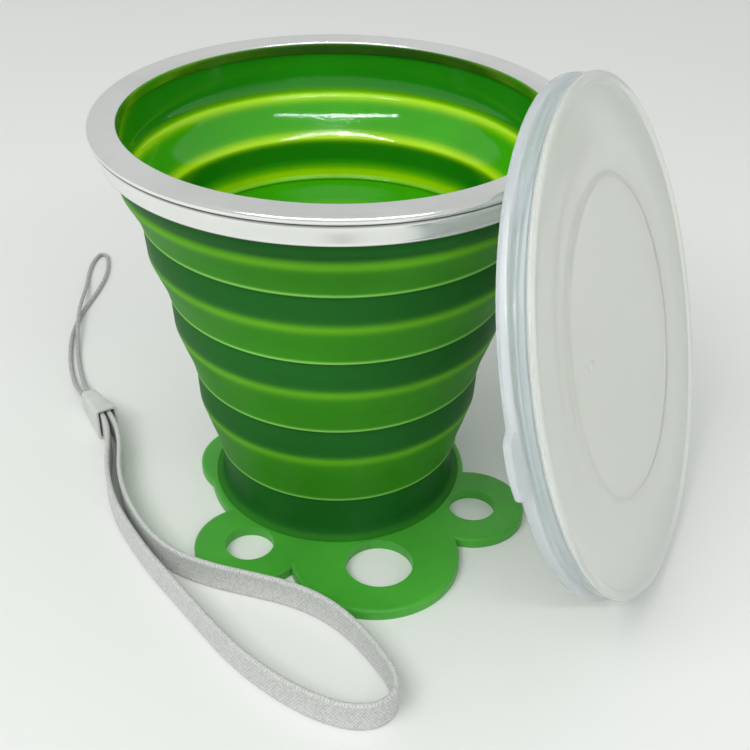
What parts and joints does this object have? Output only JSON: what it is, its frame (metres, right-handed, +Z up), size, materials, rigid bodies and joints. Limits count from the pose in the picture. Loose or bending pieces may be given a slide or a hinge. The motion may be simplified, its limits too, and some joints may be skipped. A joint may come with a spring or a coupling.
{
  "type": "collapsible travel cup",
  "caption": "Folding silicone cup with a steel rim, paw-shaped foot with finger holes, a snap lid and a wrist lanyard.",
  "frame": {"origin": "on the table under the middle of the cup, the middle of the foot's underside", "axes": "+Z up along the cup's axis, -Y towards the foot's big lobe and the front, +X towards the leaning lid"},
  "size_m": [0.1494, 0.174, 0.0941],
  "materials": {
    "silicone_green": "satin moulded silicone",
    "silicone_green_web": "satin moulded silicone, thin and lighter",
    "rim_steel": "polished stainless steel",
    "lid_frosted": "frosted translucent moulded plastic",
    "string_grey": "braided cord",
    "webbing_grey": "woven narrow webbing",
    "ferrule_grey": "moulded plastic",
    "crimp_metal": "plain"
  },
  "bodies": {
    "base": {"foot_plate": "silicone_green", "base_cup": "silicone_green", "fold_web_4": "silicone_green_web"},
    "lower": {"lower_ring": "silicone_green", "fold_web_3": "silicone_green_web"},
    "middle": {"middle_ring": "silicone_green", "fold_web_2": "silicone_green_web"},
    "upper": {"upper_ring": "silicone_green", "fold_web_1": "silicone_green_web"},
    "rim": {"rim_collar": "silicone_green", "steel_rim": "rim_steel"},
    "lid": {"lid": "lid_frosted"},
    "lanyard": {"string_loop": "string_grey", "wrist_strap": "webbing_grey", "cord_end": "ferrule_grey", "string_crimp": "crimp_metal"}
  },
  "joints": [
    {"name": "lower_fold", "type": "slide", "parent": "base", "child": "lower", "axis": [0, 0, -1], "range_m": [0, 0.0202], "deforming": ["fold_web_4"]},
    {"name": "middle_fold", "type": "slide", "parent": "lower", "child": "middle", "axis": [0, 0, -1], "range_m": [0, 0.0178], "deforming": ["fold_web_3"]},
    {"name": "upper_fold", "type": "slide", "parent": "middle", "child": "upper", "axis": [0, 0, -1], "range_m": [0, 0.0162], "deforming": ["fold_web_2"]},
    {"name": "rim_fold", "type": "slide", "parent": "upper", "child": "rim", "axis": [0, 0, -1], "range_m": [0, 0.0148], "deforming": ["fold_web_1"]},
    {"name": "lid_tip", "type": "hinge", "parent": "base", "child": "lid", "pos_m": [0.06748, -0.02825, 0.00054], "axis": [0.4274, 0.9041, 0], "range_deg": [0, 108]},
    {"name": "lanyard_lift", "type": "slide", "parent": "base", "child": "lanyard", "axis": [-0.48, -0.6, 0.64], "range_m": [0, 0.08]}
  ]
}
